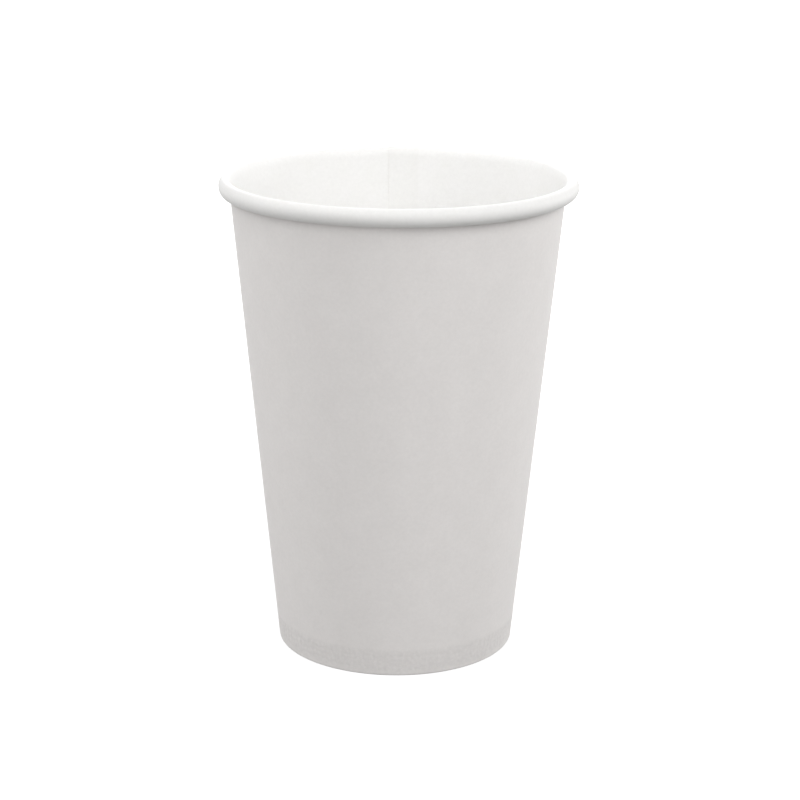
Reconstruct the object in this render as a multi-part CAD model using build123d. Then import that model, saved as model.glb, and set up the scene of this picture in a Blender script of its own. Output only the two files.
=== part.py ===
from build123d import *
import math
import os

# Single-wall paper cup with a rolled rim, standing on its hem.
# Millimetres and degrees. +Z is up, the origin is the centre of the ring that the cup
# stands on, and the side seam is at the back, on the +Y side.

# Whole cup
rim_diameter = 90.0          # over the rolled rim, the size that a lid is made for
cup_height = 121.0           # from the table to the top of the rolled rim
base_diameter = 60.6         # of the wall's outer face, carried down to the table

# Sidewall board
wall_thickness = 0.35        # cupboard with a thin coating on its inner face

# Rolled rim
bead_width = 3.43            # in plan, with the wall in it
bead_side = 0.99             # upright band on its outer side, which a lid grips
bead_gap = 0.02              # between the roll and the wall that it comes back to
tuck_rise = 0.5              # straight run of the roll's end, up beside the wall
tuck_radius = 0.4            # inside the last bend of the roll's end
tuck_angle = 80.0            # that the last bend turns through

# Bottom hem, the blank's lower edge folded inwards and up over the base's skirt
hem_height = 6.8             # from the table to the hem's free edge
fold_radius = 0.05           # inside the two bends of the fold, which is pressed flat

# Side seam, where the blank's straight edges lap and are sealed
seam_angle = 93.6            # of the inner edge, round from +X
seam_lap = 7.9               # width of the lap, measured round the wall under the rim
seam_press_share = 0.9       # of its thickness that the board keeps where the seam is clamped
seam_step = 0.7              # run over which the outer layer climbs over the inner edge
seam_rise = 0.25             # the doubled board stands this much higher on the rolled rim
seam_settle = 6.0            # run over which the rim comes down again beyond the lap
settle_steps = 6

# Base
base_thickness = 0.32        # board of the base disc
base_crease = 0.35           # inside radius where the disc turns down into its skirt
hem_clear = 0.7              # from the hem's free edge up to that bend
skirt_clear = 0.05           # from the skirt's edge down to the bends of the fold
seal_gap = 0.02              # between the skirt and the wall or hem that it is sealed to

rim_radius = rim_diameter / 2
base_radius = base_diameter / 2
bead_radius = bead_width / 2
bead_bottom = cup_height - bead_width - bead_side
pressed_thickness = seam_press_share * wall_thickness


def wall_taper():
    """Lean of the wall from upright that brings its faces smoothly into the rolled rim."""
    across = rim_radius - bead_radius - base_radius
    up = cup_height - bead_radius
    return math.atan2(across, up) - math.asin((bead_radius - wall_thickness) / math.hypot(across, up))


upright = math.pi / 2
taper = wall_taper()
inner_foot = base_radius - wall_thickness / math.cos(taper)   # the wall's inner face at the table


def inner_radius(height):
    """Radius of the wall's inner face at a height."""
    return inner_foot + height * math.tan(taper)


def off_inner_face(radius, height):
    """How far a point stands off the wall's inner face, square to it."""
    return (radius - inner_foot) * math.cos(taper) - height * math.sin(taper)


class Track:
    """One face of a bent board, seen in the half plane of radius and height.

    It runs on in straight and round stretches that join smoothly, and the board lies to
    its right. The place is a radius and a height, and the heading is in radians, with
    zero outwards and a quarter turn upwards.
    """

    def __init__(self, radius, height, heading):
        self.place = (radius, height)
        self.heading = heading
        self.stretches = []

    def beside(self, place, heading, offset):
        """A place moved to the right of the heading."""
        return (place[0] + offset * math.sin(heading), place[1] - offset * math.cos(heading))

    def straight(self, length):
        start = self.place
        along = (math.cos(self.heading), math.sin(self.heading))
        self.place = (start[0] + length * along[0], start[1] + length * along[1])
        self.stretches.append((start, self.place, self.heading, self.heading, None, 0))

    def bend(self, radius, angle):
        """Follows an arc: a positive angle turns left, away from the board."""
        start, heading = self.place, self.heading
        reach = math.copysign(radius, angle)
        centre = self.beside(start, heading, -reach)
        self.heading = heading + angle
        self.place = self.beside(centre, self.heading, reach)
        self.stretches.append((start, self.place, heading, self.heading, centre, reach))

    def edges(self, depth):
        """The line at a depth into the board."""
        made = []
        for start, end, first_heading, last_heading, centre, reach in self.stretches:
            first = self.point(start, first_heading, depth)
            last = self.point(end, last_heading, depth)
            if centre is None:
                made.append(Line(first, last))
            else:
                middle_heading = (first_heading + last_heading) / 2
                middle = self.point(centre, middle_heading, reach + depth)
                made.append(ThreePointArc(first, middle, last))
        return made

    def point(self, place, heading, depth):
        radius, height = self.beside(place, heading, depth)
        return Vector(radius, 0, height)

    def section(self, near, far):
        """Cross-section of the board between two depths."""
        front, back = self.edges(near), self.edges(far)
        ends = [Line(front[-1] @ 1, back[-1] @ 1), Line(back[0] @ 0, front[0] @ 0)]
        return Face(Wire(front + back + ends))


def sidewall_track(board, rise):
    """The blank's inner face, from the hem's free edge round the fold, up the wall and round the rim.

    board is the height of all the layers that lie at this place round the cup, and rise is
    how much higher the rolled rim stands here.
    """
    # Down the hem and round the fold. The slot takes the base's skirt.
    slot = base_thickness + 2 * seal_gap
    flat = (slot - 2 * fold_radius) / math.cos(taper)
    bend_height = board + fold_radius
    bend_radius = inner_radius(bend_height) - fold_radius / math.cos(taper) - flat
    foot_radius = bend_radius - fold_radius * math.cos(taper)
    foot_height = bend_height + fold_radius * math.sin(taper)
    drop = hem_height - foot_height
    track = Track(foot_radius + drop * math.tan(taper), hem_height, -upright - taper)
    track.straight(drop / math.cos(taper))
    track.bend(fold_radius, upright + taper)
    track.straight(flat)
    track.bend(fold_radius, upright - taper)

    # Up the wall and over the top of the rim
    top = cup_height + rise
    top_radius = off_inner_face(rim_radius, top) / (1 + math.cos(taper) - math.sin(taper))
    top_centre = (rim_radius - top_radius, top - top_radius)
    crown = track.beside(top_centre, upright - taper, -top_radius)
    track.straight(math.dist(track.place, crown))
    track.bend(top_radius, taper - math.pi)

    # Down the upright band, back underneath to the wall and in beside it
    track.straight(track.place[1] - bead_bottom - bead_radius)
    track.bend(bead_radius, -upright)
    room = off_inner_face(rim_radius - bead_radius, bead_bottom) - board - bead_gap
    track.bend(room / (1 + math.sin(taper)), -upright - taper)
    track.straight(tuck_rise)
    track.bend(tuck_radius + board, -math.radians(tuck_angle))
    return track


def at_angle(face, angle):
    """A section turned to its place round the cup."""
    return Rot(0, 0, angle) * face


def swept(face, start, end):
    """A section carried round the cup from one angle to another."""
    return revolve(at_angle(face, start), Axis.Z, revolution_arc=end - start)


def between(first, last, share):
    return first + share * (last - first)


def sidewall():
    """One wrapped blank, single all the way round but for the lap of its two straight edges."""
    seam_radius = inner_radius(bead_bottom)
    outer_angle = seam_angle - math.degrees(seam_lap / seam_radius)
    climb_angle = seam_angle + math.degrees(seam_step / seam_radius)
    settle_angle = outer_angle - math.degrees(seam_settle / seam_radius)

    single = sidewall_track(wall_thickness, 0).section(0, wall_thickness)
    around = swept(single, climb_angle - 360, settle_angle)

    lapped = sidewall_track(2 * pressed_thickness, seam_rise)
    lap = swept(lapped.section(0, 2 * pressed_thickness), outer_angle, seam_angle)

    outer_layer = lapped.section(pressed_thickness, 2 * pressed_thickness)
    climb = loft([at_angle(outer_layer, seam_angle), at_angle(single, climb_angle)], ruled=True)

    settling = []
    for step in range(settle_steps + 1):
        share = step / settle_steps
        layers = between(wall_thickness, 2 * pressed_thickness, share)
        inner_layer = between(wall_thickness, pressed_thickness, share)
        section = sidewall_track(layers, share * seam_rise).section(0, inner_layer)
        settling.append(at_angle(section, between(settle_angle, outer_angle, share)))
    settle = loft(settling, ruled=True)
    return around + settle + lap + climb


def base_disc():
    """Disc with its rim turned down into a skirt, which is sealed between the wall and the hem."""
    bend_radius = base_thickness + base_crease
    bend_height = hem_height + hem_clear
    skirt_edge = 2 * pressed_thickness + fold_radius + skirt_clear
    disc_radius = inner_radius(bend_height) - (seal_gap + bend_radius) / math.cos(taper)
    track = Track(0, bend_height + bend_radius, 0)
    track.straight(disc_radius)
    track.bend(bend_radius, -upright - taper)
    track.straight((track.place[1] - skirt_edge) / math.cos(taper))
    return revolve(track.section(0, base_thickness), Axis.Z)


os.makedirs("parts", exist_ok=True)
for name, shape in (("sidewall", sidewall()), ("base_disc", base_disc())):
    export_step(shape, f"parts/{name}.step")
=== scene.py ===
import math

import bpy
from mathutils import Matrix, Vector


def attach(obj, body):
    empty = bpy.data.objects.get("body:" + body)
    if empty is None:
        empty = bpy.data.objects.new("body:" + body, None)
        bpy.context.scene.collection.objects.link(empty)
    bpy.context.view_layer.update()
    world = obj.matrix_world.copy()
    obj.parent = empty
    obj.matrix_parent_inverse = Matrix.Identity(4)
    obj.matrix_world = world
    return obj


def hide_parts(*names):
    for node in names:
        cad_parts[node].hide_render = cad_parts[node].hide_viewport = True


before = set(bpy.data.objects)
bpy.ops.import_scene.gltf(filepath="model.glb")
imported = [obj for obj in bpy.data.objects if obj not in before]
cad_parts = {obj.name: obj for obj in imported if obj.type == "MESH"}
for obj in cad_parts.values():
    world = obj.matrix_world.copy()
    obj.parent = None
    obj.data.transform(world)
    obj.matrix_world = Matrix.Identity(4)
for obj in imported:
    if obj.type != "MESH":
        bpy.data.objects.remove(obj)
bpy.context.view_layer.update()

# Sidewall.
# One fan-shaped blank of white cupboard with a thin coating inside, wrapped to a cone and
# sealed down a lapped seam at the back. The top edge is rolled outwards into the rim, and
# the bottom edge is folded in and up over the base's skirt and pressed there with a knurl.
mm = 0.001
rim_radius = 45.0 * mm
cup_height = 121.0 * mm
base_radius = 30.3 * mm              # of the outer face, carried down to the table
wall_thickness = 0.35 * mm
weld_distance = 0.001 * mm           # under which the points of a sheet's two ends are joined
sharp_corner = math.radians(50)      # past which an edge of the mesh is shaded sharp

# The rolled rim
bead_radius = 1.715 * mm
bead_side = 0.99 * mm                # what the roll is taller than it is wide
flare_radius = 5.0 * mm              # of the gentle bend that leads into the roll
flare_turn = math.radians(20)
bead_inside = 1.1 * mm               # radius of the bend over the rim's inner edge
bead_shoulder = math.radians(50)     # turned through by the bends above and below the side
bead_underside = 1.35                # radius of the bend below the side, over that above it
lap_underside = 1.2                  # the same where the board is doubled
roll_slack = 0.5 * mm                # by which the roll is wound tighter on the left
bead_gap = 0.02 * mm                 # between the roll and the wall that it comes back to
tuck_rise = 0.5 * mm
tuck_radius = 0.4 * mm
tuck_angle = math.radians(80)

# The hem, with the slot for the base's skirt and the knurl pressed into its outer face
hem_height = 6.8 * mm
fold_radius = 0.05 * mm
skirt_thickness = 0.32 * mm
seal_gap = 0.02 * mm
knurl_ribs = 120.0                   # round the cup
knurl_row = 1.5 * mm
knurl_depth = 0.065 * mm
knurl_fade = 1.2 * mm                # run over which it fades out at the hem's two edges
knurl_unevenness = 0.6               # largest share of its depth that a shallow patch loses
knurl_wander = 14.0                  # how far its ribs stray, in radians of their own wave
patch_size = 2.8 * mm                # of its shallow and deep patches

# The seam, where the blank's two straight edges lap
seam_angle = math.radians(93.6)      # of the inner edge, round from +X
seam_lap = 7.9 * mm
seam_step = 0.7 * mm                 # run over which the outer layer climbs over the inner edge
seam_settle = 6.0 * mm               # run over which the rim comes down again beyond the lap
seam_rise = 0.25 * mm                # what the rim stands higher at the lap
seam_press_share = 0.9               # of its thickness that the board keeps in the clamp
edge_ease = 0.2 * mm                 # width of the eased corner on the outer edge
edge_loss = 0.08 * mm                # taken off the two layers' thickness there
edge_press = 0.6                     # share of its thickness that the inner edge loses
edge_press_run = 1.5 * mm            # run over which it gets thinner

# How finely the blank is drawn, on its inner and its outer face
column_angle = math.radians(0.5)
plain_keys = 24
inner_steps = {"hem": 2, "fold": 3, "band": 1, "wall": 2, "roll": 7, "tail": 5}
outer_steps = {"hem": 14, "fold": 4, "band": 20, "wall": 2, "roll": 3, "tail": 4}

upright = math.pi / 2
bead_bottom = cup_height - 2 * bead_radius - bead_side
across = rim_radius - bead_radius - base_radius
up = cup_height - bead_radius
taper = math.atan2(across, up) - math.asin((bead_radius - wall_thickness) / math.hypot(across, up))
inner_foot = base_radius - wall_thickness / math.cos(taper)
pressed_thickness = seam_press_share * wall_thickness


def inner_radius(height):
    """Radius of the wall's inner face at a height."""
    return inner_foot + height * math.tan(taper)


def off_inner_face(radius, height):
    """How far a point stands off the wall's inner face, square to it."""
    return (radius - inner_foot) * math.cos(taper) - height * math.sin(taper)


def roll_radius(angle):
    """How far out the roll reaches. It is wound a little tighter on the left, towards -X."""
    return rim_radius - roll_slack * ((1 - math.cos(angle)) / 2) ** 2


class BentLine:
    """One face of a bent board in the half plane of radius and height, with the board to its right."""

    def __init__(self, radius, height, heading):
        self.place = (radius, height)
        self.heading = heading
        self.points = [(self.place, heading)]

    def beside(self, place, heading, offset):
        """A place moved to the right of the heading."""
        return (place[0] + offset * math.sin(heading), place[1] - offset * math.cos(heading))

    def straight(self, length, steps):
        start = self.place
        along = (math.cos(self.heading), math.sin(self.heading))
        for step in range(1, steps + 1):
            reach = length * step / steps
            self.place = (start[0] + reach * along[0], start[1] + reach * along[1])
            self.points.append((self.place, self.heading))

    def bend(self, radius, angle, steps):
        """Follows an arc: a positive angle turns left, away from the board."""
        start = self.heading
        reach = math.copysign(radius, angle)
        centre = self.beside(self.place, start, -reach)
        for step in range(1, steps + 1):
            self.heading = start + angle * step / steps
            self.place = self.beside(centre, self.heading, reach)
            self.points.append((self.place, self.heading))

    def at_depth(self, depth):
        """The line's points moved into the board."""
        return [self.beside(place, heading, depth) for place, heading in self.points]


def blank_line(board, rise, outside, steps):
    """The blank's inner face from the hem's free edge to the end of the roll.

    board is the height of the layers that lie at this place, rise is how much higher the
    rim stands here, outside is the roll's outer radius here, and steps says how finely
    each stretch is drawn.
    """
    # Down the hem and round the fold, which leaves a slot for the skirt
    flat = (skirt_thickness + 2 * seal_gap - 2 * fold_radius) / math.cos(taper)
    bend_height = board + fold_radius
    bend_radius = inner_radius(bend_height) - fold_radius / math.cos(taper) - flat
    foot_radius = bend_radius - fold_radius * math.cos(taper)
    drop = hem_height - bend_height - fold_radius * math.sin(taper)
    line = BentLine(foot_radius + drop * math.tan(taper), hem_height, -upright - taper)
    line.straight(drop / math.cos(taper), steps["hem"])
    line.bend(fold_radius, upright + taper, steps["fold"])
    line.straight(flat, 1)
    line.bend(fold_radius, upright - taper, steps["fold"])

    # Up the wall, which flares a little and eases over into the roll
    top = cup_height + rise
    flared = upright - taper - flare_turn
    flare_rise = flare_radius * (math.cos(flared) - math.sin(taper)) + bead_inside * (1 - math.cos(flared))
    flare_run = flare_radius * (math.cos(taper) - math.sin(flared)) + bead_inside * math.sin(flared)
    flare_start = top - flare_rise
    line.straight((hem_height + knurl_fade - line.place[1]) / math.cos(taper), steps["band"])
    line.straight((flare_start - line.place[1]) / math.cos(taper), steps["wall"])
    line.bend(flare_radius, -flare_turn, steps["wall"] + 1)
    line.bend(bead_inside, -flared, steps["roll"])

    # Round the roll, an oval whose bend below its side is wider than the one above. The
    # radii are those that bring it out to its full reach and down to its underside.
    underside = bead_underside if board == wall_thickness else lap_underside
    sine = math.sin(bead_shoulder)
    cosine = math.cos(bead_shoulder)
    reach = outside - inner_radius(flare_start) - flare_run
    both_bends = (1 - cosine) * (1 + underside)
    side_drop = (top - bead_bottom) * sine - both_bends * reach
    side_radius = side_drop / (2 * sine * cosine - both_bends * (1 - sine))
    shoulder_radius = (reach - (1 - sine) * side_radius) / sine
    line.bend(shoulder_radius, -bead_shoulder, steps["roll"])
    line.bend(side_radius, 2 * bead_shoulder - math.pi, 2 * steps["roll"])
    line.bend(underside * shoulder_radius, -bead_shoulder, steps["roll"])

    # Back to the wall and in beside it
    room = off_inner_face(line.place[0], line.place[1]) - board - bead_gap
    line.bend(room / (1 + math.sin(taper)), -upright - taper, steps["roll"])
    line.straight(tuck_rise, 1)
    line.bend(tuck_radius + board, -tuck_angle, steps["tail"])
    return line


def blank_section(board, rise, angle, near, far):
    """Closed outline of the board between two depths: out along one face and back along the other."""
    outside = roll_radius(angle)
    front = blank_line(board, rise, outside, inner_steps).at_depth(near)
    back = blank_line(board, rise, outside, outer_steps).at_depth(far)
    return front, back[::-1]


def knurl_press(place):
    """How strongly the knurl presses at a place: full within the hem, fading out at its two edges."""
    up_from_fold = (place[1] - knurl_fade / 2) / knurl_fade
    down_from_edge = (hem_height + knurl_fade / 2 - place[1]) / knurl_fade
    share = max(0.0, min(1.0, up_from_fold, down_from_edge))
    return share * share * (3 - 2 * share)


def board_sheet(name, columns, press):
    """Mesh of a board section carried through columns of (angle, front, back, is the board doubled).

    It lies unrolled, with X as the angle, Y as the radius and Z as the height. Faces are
    marked 0 on the coated face, 1 on the bare one and 2 on a cut edge.
    """
    turn = len(columns[0][1])
    count = turn + len(columns[0][2])
    points, pressed, doubled = [], [], []
    for angle, front, back, lap in columns:
        for number, place in enumerate(front + back):
            points.append((angle, place[0], place[1]))
            pressed.append(press(place) if number >= turn else 0.0)
            doubled.append(lap if number < turn else 0.0)
    faces, kinds = [], []
    for column in range(len(columns) - 1):
        cut = columns[column][0] == columns[column + 1][0]
        first = column * count
        second = first + count
        for row in range(count):
            after = (row + 1) % count
            if points[first + row][1] == points[first + after][1] == 0:
                continue
            faces.append((first + row, first + after, second + after, second + row))
            kinds.append(2 if cut or after in (0, turn) else int(row >= turn))
    mesh = bpy.data.meshes.new(name)
    mesh.from_pydata(points, [], faces)
    mesh.attributes.new("press", "FLOAT", "POINT").data.foreach_set("value", pressed)
    mesh.attributes.new("doubled", "FLOAT", "POINT").data.foreach_set("value", doubled)
    mesh.attributes.new("surface", "INT", "FACE").data.foreach_set("value", kinds)
    return mesh


def between(first, last, share):
    """A line of points part of the way from one line to another."""
    return [(a[0] + share * (b[0] - a[0]), a[1] + share * (b[1] - a[1])) for a, b in zip(first, last)]


def carried_round(keys, column_step):
    """Columns between key sections of (angle, section, doubled), with a pair of them at a cut edge."""
    columns = []
    for (start, section, lap), (end, next_section, _) in zip(keys, keys[1:]):
        steps = max(1, round((end - start) / column_step))
        for step in range(steps):
            share = step / steps
            front, back = (between(a, b, share) for a, b in zip(section, next_section))
            columns.append((start + share * (end - start), front, back, lap))
    angle, section, lap = keys[-1]
    return columns + [(angle, *section, lap)]


def add(tree, kind, inputs=(), **settings):
    """A new node in a tree.

    inputs pairs a socket's name or number with a value or with the socket that feeds it.
    """
    made = tree.nodes.new(kind)
    for name, value in settings.items():
        setattr(made, name, value)
    for socket, value in dict(inputs).items():
        if isinstance(value, bpy.types.NodeSocket):
            tree.links.new(value, made.inputs[socket])
        else:
            made.inputs[socket].default_value = value
    return made


def math_node(tree, operation, *values):
    return add(tree, "ShaderNodeMath", enumerate(values), operation=operation).outputs[0]


def wrapping_tree():
    """Geometry nodes that press ribs into an unrolled sheet, wrap it round the cup's axis and close it."""
    tree = bpy.data.node_groups.new("wrap_board", "GeometryNodeTree")
    sockets = [
        ("Sheet", "NodeSocketGeometry"),
        ("Ribs round", "NodeSocketFloat"),
        ("Rib row height", "NodeSocketFloat"),
        ("Rib depth", "NodeSocketFloat"),
        ("Unevenness", "NodeSocketFloat"),
        ("Wander", "NodeSocketFloat"),
        ("Patch size", "NodeSocketFloat"),
        ("Coated face", "NodeSocketMaterial"),
        ("Bare face", "NodeSocketMaterial"),
        ("Cut edge", "NodeSocketMaterial"),
    ]
    for name, kind in sockets:
        tree.interface.new_socket(name, in_out="INPUT", socket_type=kind)
    tree.interface.new_socket("Board", in_out="OUTPUT", socket_type="NodeSocketGeometry")
    given = add(tree, "NodeGroupInput").outputs

    # From angle, radius and height to a place round the cup
    spot = add(tree, "GeometryNodeInputPosition").outputs[0]
    angle, radius, height = add(tree, "ShaderNodeSeparateXYZ", [(0, spot)]).outputs
    round_x = math_node(tree, "MULTIPLY", math_node(tree, "COSINE", angle), radius)
    round_y = math_node(tree, "MULTIPLY", math_node(tree, "SINE", angle), radius)
    wrapped = add(tree, "ShaderNodeCombineXYZ", [(0, round_x), (1, round_y), (2, height)]).outputs[0]

    # The ribs wander, and are pressed deeper here than there
    patch_scale = math_node(tree, "DIVIDE", 1.0, given["Patch size"])
    patches = add(
        tree, "ShaderNodeTexNoise",
        [("Vector", wrapped), ("Scale", patch_scale), ("Detail", 2.0)],
    ).outputs
    uneven = math_node(tree, "MULTIPLY", patches[0], given["Unevenness"])
    evenness = math_node(tree, "SUBTRACT", 1.0, uneven)
    drift = add(tree, "ShaderNodeSeparateXYZ", [(0, patches["Color"])]).outputs
    column_drift = math_node(tree, "MULTIPLY", drift[1], given["Wander"])
    row_drift = math_node(tree, "MULTIPLY", drift[2], given["Wander"])

    # A wave round the cup and one up it, each of half the depth, add up to small mounds
    column_turn = math_node(tree, "MULTIPLY_ADD", angle, given["Ribs round"], column_drift)
    whole_turns = math_node(tree, "MULTIPLY", height, 2 * math.pi)
    row_turn = math_node(tree, "DIVIDE", whole_turns, given["Rib row height"])
    row_wave = math_node(tree, "COSINE", math_node(tree, "ADD", row_turn, row_drift))
    mound = math_node(tree, "ADD", math_node(tree, "COSINE", column_turn), row_wave)
    press = add(tree, "GeometryNodeInputNamedAttribute", [("Name", "press")], data_type="FLOAT").outputs[0]
    depth = math_node(tree, "MULTIPLY", math_node(tree, "MULTIPLY", press, given["Rib depth"]), 0.5)
    lift = math_node(tree, "MULTIPLY", math_node(tree, "MULTIPLY", mound, depth), evenness)
    offset = add(tree, "ShaderNodeCombineXYZ", [(1, lift)]).outputs[0]
    sheet = [("Geometry", given["Sheet"]), ("Offset", offset)]
    pressed = add(tree, "GeometryNodeSetPosition", sheet).outputs[0]
    rolled = add(tree, "GeometryNodeSetPosition", [("Geometry", pressed), ("Position", wrapped)]).outputs[0]
    ends = [("Geometry", rolled), ("Distance", weld_distance)]
    closed = add(tree, "GeometryNodeMergeByDistance", ends).outputs[0]

    # Smooth all over but for the cut edges of the board
    smooth = add(
        tree, "GeometryNodeSetShadeSmooth",
        [("Geometry", closed), ("Shade Smooth", True)],
        domain="FACE",
    ).outputs[0]
    corner = add(tree, "GeometryNodeInputMeshEdgeAngle").outputs["Unsigned Angle"]
    is_corner = add(
        tree, "FunctionNodeCompare",
        [(0, corner), (1, sharp_corner)],
        operation="GREATER_THAN",
    ).outputs[0]
    sharp = add(
        tree, "GeometryNodeSetShadeSmooth",
        [("Geometry", smooth), ("Selection", is_corner), ("Shade Smooth", False)],
        domain="EDGE",
    ).outputs[0]
    real = add(tree, "GeometryNodeRealizeInstances", [("Geometry", sharp)]).outputs[0]
    kind = add(tree, "GeometryNodeInputNamedAttribute", [("Name", "surface")], data_type="INT").outputs[0]
    for number, name in enumerate(("Coated face", "Bare face", "Cut edge")):
        chosen = add(
            tree, "FunctionNodeCompare",
            [(2, kind), (3, number)],
            data_type="INT", operation="EQUAL",
        ).outputs[0]
        finish = [("Geometry", real), ("Selection", chosen), ("Material", given[name])]
        real = add(tree, "GeometryNodeSetMaterial", finish).outputs[0]
    add(tree, "NodeGroupOutput", [(0, real)])
    return tree


def wrapped_piece(name, sheet, tree, sizes):
    """Runs the tree on a sheet and keeps the result as a plain mesh."""
    piece = bpy.data.objects.new(name, sheet)
    bpy.context.scene.collection.objects.link(piece)
    wrap = piece.modifiers.new("wrap", "NODES")
    wrap.node_group = tree
    for item in tree.interface.items_tree:
        if item.in_out == "INPUT" and item.name in sizes:
            wrap[item.identifier] = sizes[item.name]
    graph = bpy.context.evaluated_depsgraph_get()
    made = bpy.data.meshes.new_from_object(
        piece.evaluated_get(graph), preserve_all_data_layers=True, depsgraph=graph,
    )
    piece.modifiers.remove(wrap)
    piece.data = made
    made.name = name
    return piece


# Colours of the board's faces, each with that of its faint clouds, as linear light
coated_white = (0.895, 0.89, 0.88, 1)
coated_cloud = (0.885, 0.88, 0.865, 1)
bare_white = (0.818, 0.793, 0.778, 1)
bare_cloud = (0.798, 0.773, 0.758, 1)
edge_white = (0.80, 0.775, 0.735, 1)
edge_cloud = (0.75, 0.72, 0.67, 1)
lap_shade = (0.985, 0.985, 0.982, 1)         # painted shade: the colour is multiplied by it at the lap
roll_painted_shade = (0.925, 0.923, 0.92, 1)         # and by this painted shade round the roll's outer side
roll_shade_start = 42.4 * mm            # radius at which the roll's painted shade starts
roll_shade_end = 44.4 * mm

board_gloss = 0.35
board_roughness = 0.55
edge_roughness = 0.85
roughness_spread = 0.08
noise_low = 0.3                      # nearly all of a noise lies between these two
noise_high = 0.7
noise_middle = 0.5
fleck_size = 0.9 * mm
plain_fleck_depth = 0.1
pressed_fleck_depth = 0.21
pressed_shade = 0.05                 # what the knurl takes off the colour

coated_clouds = 5 * mm
coated_grain = 0.45 * mm
coated_relief = 0.0025 * mm
bare_clouds = 6 * mm
bare_grain = 0.22 * mm
bare_relief = 0.004 * mm
edge_clouds = 0.8 * mm
edge_grain = 0.06 * mm
edge_relief = 0.01 * mm


def board_finish(name, colour, cloud_colour, roughness, cloud_size, grain_size, relief):
    """White board with faint clouds where its fibres lie thicker, fine flecks and a shallow grain.

    Where a knurl has pressed the board, it is a little darker and more mottled.
    """
    material = bpy.data.materials.new(name)
    material.use_nodes = True
    tree = material.node_tree
    shader = tree.nodes["Principled BSDF"]
    shader.inputs["Specular IOR Level"].default_value = board_gloss
    place = add(tree, "ShaderNodeTexCoord").outputs["Object"]

    clouds = add(
        tree, "ShaderNodeTexNoise",
        [("Vector", place), ("Scale", 1 / cloud_size), ("Detail", 4.0)],
    ).outputs[0]
    spread = add(tree, "ShaderNodeMapRange", [(0, clouds), (1, noise_low), (2, noise_high)]).outputs[0]
    clouded = add(
        tree, "ShaderNodeMix",
        [(0, spread), (6, colour), (7, cloud_colour)],
        data_type="RGBA",
    ).outputs[2]

    flecks = add(
        tree, "ShaderNodeTexNoise",
        [("Vector", place), ("Scale", 1 / fleck_size), ("Detail", 3.0), ("Roughness", 0.65)],
    ).outputs[0]
    press = add(tree, "ShaderNodeAttribute", attribute_name="press").outputs["Fac"]
    extra_depth = pressed_fleck_depth - plain_fleck_depth
    fleck_depth = math_node(tree, "MULTIPLY_ADD", press, extra_depth, plain_fleck_depth)
    fleck = math_node(tree, "MULTIPLY", math_node(tree, "SUBTRACT", flecks, noise_middle), fleck_depth)
    pressed_loss = math_node(tree, "MULTIPLY", press, pressed_shade)
    shade = math_node(tree, "SUBTRACT", math_node(tree, "ADD", 1.0, fleck), pressed_loss)
    tint = add(tree, "ShaderNodeVectorMath", [(0, clouded), (3, shade)], operation="SCALE").outputs[0]

    grain = add(
        tree, "ShaderNodeTexNoise",
        [("Vector", place), ("Scale", 1 / grain_size), ("Detail", 3.0), ("Roughness", 0.6)],
    ).outputs[0]
    rough = add(
        tree, "ShaderNodeMapRange",
        [(0, grain), (1, noise_low), (2, noise_high), (3, roughness), (4, roughness + roughness_spread)],
    ).outputs[0]
    bump = add(
        tree, "ShaderNodeBump",
        [("Height", grain), ("Distance", relief), ("Strength", 1.0)],
    ).outputs[0]
    tree.links.new(tint, shader.inputs["Base Color"])
    tree.links.new(rough, shader.inputs["Roughness"])
    tree.links.new(bump, shader.inputs["Normal"])
    return material, tree, tint


coated, coated_tree, coated_tint = board_finish(
    "coated_board", coated_white, coated_cloud, board_roughness,
    coated_clouds, coated_grain, coated_relief,
)
bare, _, _ = board_finish(
    "bare_board", bare_white, bare_cloud, board_roughness,
    bare_clouds, bare_grain, bare_relief,
)
cut_edge, _, _ = board_finish(
    "cut_edge", edge_white, edge_cloud, edge_roughness,
    edge_clouds, edge_grain, edge_relief,
)

# Two layers of board let less light through, so the lap is painted as a faintly darker band, a painted
# shade
doubled = add(coated_tree, "ShaderNodeAttribute", attribute_name="doubled").outputs["Fac"]
banded = add(
    coated_tree, "ShaderNodeMix",
    [(0, doubled), (6, coated_tint), (7, lap_shade)],
    data_type="RGBA", blend_type="MULTIPLY",
).outputs[2]

# Painted shade: the roll is made a little darker than the inside, more so the further out from the axis it
# reaches
place = add(coated_tree, "ShaderNodeTexCoord").outputs["Object"]
outwards = add(
    coated_tree, "ShaderNodeVectorMath",
    [(0, place), (1, (1, 1, 0))],
    operation="MULTIPLY",
).outputs[0]
from_axis = add(coated_tree, "ShaderNodeVectorMath", [(0, outwards)], operation="LENGTH").outputs[1]
roll_shade_share = add(
    coated_tree, "ShaderNodeMapRange",
    [(0, from_axis), (1, roll_shade_start), (2, roll_shade_end)],
).outputs[0]
rolled = add(
    coated_tree, "ShaderNodeMix",
    [(0, roll_shade_share), (6, banded), (7, roll_painted_shade)],
    data_type="RGBA", blend_type="MULTIPLY",
).outputs[2]
coated_tree.links.new(rolled, coated_tree.nodes["Principled BSDF"].inputs["Base Color"])

seam_radius = inner_radius(bead_bottom)
outer_angle = seam_angle - seam_lap / seam_radius
climb_angle = seam_angle + seam_step / seam_radius
settle_angle = outer_angle - seam_settle / seam_radius
worn_edge = edge_ease / seam_radius
press_start = seam_angle - edge_press_run / seam_radius
both_layers = 2 * pressed_thickness
edge_thickness = (1 - edge_press) * pressed_thickness
edge_layers = edge_thickness + pressed_thickness


def single_key(angle):
    """A section where the board is single."""
    return angle, blank_section(wall_thickness, 0, angle, 0, wall_thickness), 0.0


def lapped_key(angle, near, far, lap):
    """A section where the board is doubled, between depths that count from its inner face."""
    return angle, blank_section(both_layers, seam_rise, angle, near, far), lap


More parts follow.
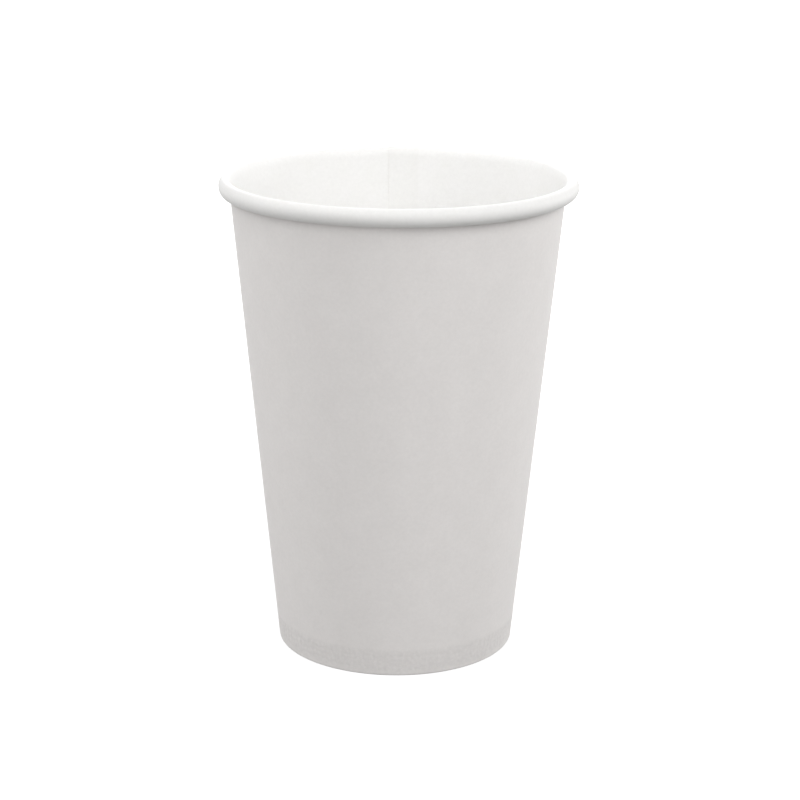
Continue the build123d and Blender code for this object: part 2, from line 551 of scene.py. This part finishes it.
plain_start = climb_angle - 2 * math.pi
plain_step = (settle_angle - plain_start) / plain_keys
blank_keys = [single_key(plain_start + step * plain_step) for step in range(plain_keys + 1)] + [
    lapped_key(outer_angle, 0, pressed_thickness, 0.0),
    lapped_key(outer_angle, 0, both_layers - edge_loss, 1.0),
    lapped_key(outer_angle + worn_edge, 0, both_layers, 1.0),
    lapped_key(press_start, 0, both_layers, 1.0),
    lapped_key(seam_angle, 0, edge_layers, 1.0),
    lapped_key(seam_angle, edge_thickness, edge_layers, 0.0),
    single_key(climb_angle),
]
blank = board_sheet("sidewall_blank", carried_round(blank_keys, column_angle), knurl_press)
wrap_board = wrapping_tree()
board_faces = {"Coated face": coated, "Bare face": bare, "Cut edge": cut_edge}
knurl = {
    "Ribs round": knurl_ribs,
    "Rib row height": knurl_row,
    "Rib depth": knurl_depth,
    "Unevenness": knurl_unevenness,
    "Wander": knurl_wander,
    "Patch size": patch_size,
}
wall = wrapped_piece("wall_blank", blank, wrap_board, {**board_faces, **knurl})
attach(wall, "root")
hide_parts("sidewall")

# Base.
# A disc of the same white board, coated side up. Its edge is turned down into a skirt, in
# which the spare board gathers in small pleats, and the skirt is sealed between the wall
# and the hem that is folded up over it.
base_thickness = skirt_thickness
base_crease = 0.35 * mm              # inside radius where the disc turns down
hem_clear = 0.7 * mm                 # from the hem's free edge up to that bend
skirt_clear = 0.05 * mm              # from the skirt's edge down to the hem's fold
disc_sag = 0.2 * mm
pleats_round = 84.0
pleat_row = 1.0                      # far taller than the skirt, so a pleat runs all down it
pleat_depth = 0.03 * mm
pleat_unevenness = 0.8
pleat_wander = 3.0
base_columns = 480
upper_steps = {"disc": 8, "bend": 7, "skirt": 3}
under_steps = {"disc": 8, "bend": 6, "skirt": 6}

base_bend = base_thickness + base_crease
bend_height = hem_height + hem_clear
disc_height = bend_height + base_bend
skirt_edge = both_layers + fold_radius + skirt_clear
disc_radius = inner_radius(bend_height) - (seal_gap + base_bend) / math.cos(taper)


def base_line(steps):
    """The disc's upper face from its middle to the skirt's edge, drawn with steps for each stretch."""
    line = BentLine(0, disc_height, 0)
    line.straight(disc_radius, steps["disc"])
    line.bend(base_bend, -upright - taper, steps["bend"])
    line.straight((line.place[1] - skirt_edge) / math.cos(taper), steps["skirt"])
    return line


def sagged(points):
    """The disc's middle hangs a little lower than its edge."""
    return [(r, z - disc_sag * (1 - (r / disc_radius) ** 2) if r < disc_radius else z) for r, z in points]


def pleat_press(place):
    """The pleats run from the bend down the skirt, and the disc itself lies plain."""
    if place[0] < disc_radius:
        return 0.0
    return max(0.0, min(1.0, (disc_height - base_thickness - place[1]) / base_crease))


base_section = (
    sagged(base_line(upper_steps).at_depth(0)),
    sagged(base_line(under_steps).at_depth(base_thickness))[::-1],
)
base_keys = [(-math.pi, base_section, 0.0), (math.pi, base_section, 0.0)]
disc = board_sheet("base_sheet", carried_round(base_keys, 2 * math.pi / base_columns), pleat_press)
pleats = {
    "Ribs round": pleats_round,
    "Rib row height": pleat_row,
    "Rib depth": pleat_depth,
    "Unevenness": pleat_unevenness,
    "Wander": pleat_wander,
    "Patch size": patch_size,
}
base = wrapped_piece("base_board_disc", disc, wrap_board, {**board_faces, **pleats})
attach(base, "root")
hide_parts("base_disc")

# Floor and backdrop.
# A wide pale floor that runs out of sight, with the same white beyond it. Seen directly it
# is white, and it keeps the soft shadow of the cup.
floor_reach = 3.0
shadow_end = 0.35                    # from the cup's axis, where the floor is plain white
shadow_start = shadow_end / 3        # where its own white starts to rise
floor_seen_light = 0.72              # white that it shows by itself near the cup
floor_seen_colour = (0.4, 0.4, 0.4, 1)
floor_colour = (0.32, 0.32, 0.32, 1)
world_light = 0.25                   # of the backdrop, as it falls on things
white = (1, 1, 1, 1)


def seen_directly(tree):
    """1 for what the camera sees straight, in a gloss or through glass, and 0 for other light."""
    path = add(tree, "ShaderNodeLightPath").outputs
    either = math_node(tree, "MAXIMUM", path["Is Camera Ray"], path["Is Glossy Ray"])
    return math_node(tree, "MAXIMUM", either, path["Is Transmission Ray"])


floor_mesh = bpy.data.meshes.new("floor")
corners = [(x * floor_reach, y * floor_reach, 0) for x, y in ((-1, -1), (1, -1), (1, 1), (-1, 1))]
floor_mesh.from_pydata(corners, [], [(0, 1, 2, 3)])
floor = bpy.data.objects.new("floor", floor_mesh)
bpy.context.scene.collection.objects.link(floor)
floor_finish = bpy.data.materials.new("pale_floor")
floor_finish.use_nodes = True
floor_tree = floor_finish.node_tree
floor_tree.nodes.clear()
seen = seen_directly(floor_tree)
seen_shadow = add(floor_tree, "ShaderNodeBsdfDiffuse", [("Color", floor_seen_colour)]).outputs[0]
spot = add(floor_tree, "ShaderNodeTexCoord").outputs["Object"]
away = add(floor_tree, "ShaderNodeVectorMath", [(0, spot)], operation="LENGTH").outputs[1]
whiter = add(
    floor_tree, "ShaderNodeMapRange",
    [(0, away), (1, shadow_start), (2, shadow_end), (3, floor_seen_light), (4, 1.0)],
).outputs[0]
seen_white = add(floor_tree, "ShaderNodeEmission", [("Strength", whiter)]).outputs[0]
seen_floor = add(floor_tree, "ShaderNodeAddShader", [(0, seen_shadow), (1, seen_white)]).outputs[0]
lit_floor = add(floor_tree, "ShaderNodeBsdfDiffuse", [("Color", floor_colour)]).outputs[0]
floor_mix = add(floor_tree, "ShaderNodeMixShader", [(0, seen), (1, lit_floor), (2, seen_floor)]).outputs[0]
add(floor_tree, "ShaderNodeOutputMaterial", [("Surface", floor_mix)])
floor_mesh.materials.append(floor_finish)

world = bpy.data.worlds.new("white_surround")
world.use_nodes = True
bpy.context.scene.world = world
world_tree = world.node_tree
backdrop = world_tree.nodes["Background"].inputs
level = add(
    world_tree, "ShaderNodeMapRange",
    [(0, seen_directly(world_tree)), (3, world_light), (4, 1.0)],
).outputs[0]
world_tree.links.new(level, backdrop["Strength"])
backdrop["Color"].default_value = white

# Light.
# Soft boxes all round the cup, equally far from its middle. Those in front stand high
# enough to light its inside, and the right side is lit a little more than the left.
cup_middle = Vector((0, 0, cup_height / 2))
box_distance = 1.1

# The name, azimuth and elevation in degrees, size in metres and power in watts of each
soft_boxes = [
    ("front_box", 0, 30, 0.7, 4.25),
    ("left_front_box", -50, 30, 0.7, 1.55),
    ("left_box", -105, 20, 0.6, 2.5),
    ("high_left_box", -90, 55, 0.7, 3.2),
    ("right_front_box", 60, 38, 0.6, 4.7),
    ("right_box", 100, 20, 0.6, 1.05),
    ("right_back_box", 125, 10, 0.3, 2.55),
    ("back_box", 180, 20, 0.7, 4.85),
]
for name, azimuth, elevation, size, power in soft_boxes:
    lamp = bpy.data.lights.new(name, "AREA")
    lamp.size = size
    lamp.energy = power
    box = bpy.data.objects.new(name, lamp)
    turn = math.radians(azimuth)
    lift = math.radians(elevation)
    toward = Vector((math.sin(turn) * math.cos(lift), -math.cos(turn) * math.cos(lift), math.sin(lift)))
    box.location = cup_middle + box_distance * toward
    box.rotation_euler = (-toward).to_track_quat("-Z", "Y").to_euler()
    bpy.context.scene.collection.objects.link(box)

# Camera.
# In front of the cup and higher than its rim, so that it looks a little way down into it,
# from half a metre with a long lens, and turned by a fraction of a degree as the photo is.
camera_distance = 0.5392
camera_lift = math.radians(16.2)
camera_roll = math.radians(0.4)
camera_aim = Vector((0.9 * mm, 0, 63.07 * mm))
camera_lens = 94.87
camera_sensor = 36.0
camera_data = bpy.data.cameras.new("camera")
camera_data.lens = camera_lens
camera_data.sensor_width = camera_sensor
camera = bpy.data.objects.new("camera", camera_data)
back = Vector((0, -math.cos(camera_lift), math.sin(camera_lift)))
camera.location = camera_aim + camera_distance * back
turned = (-back).to_track_quat("-Z", "Y").to_matrix() @ Matrix.Rotation(camera_roll, 3, "Z")
camera.rotation_euler = turned.to_euler()
bpy.context.scene.collection.objects.link(camera)
bpy.context.scene.camera = camera
bpy.context.scene.view_settings.view_transform = "Standard"
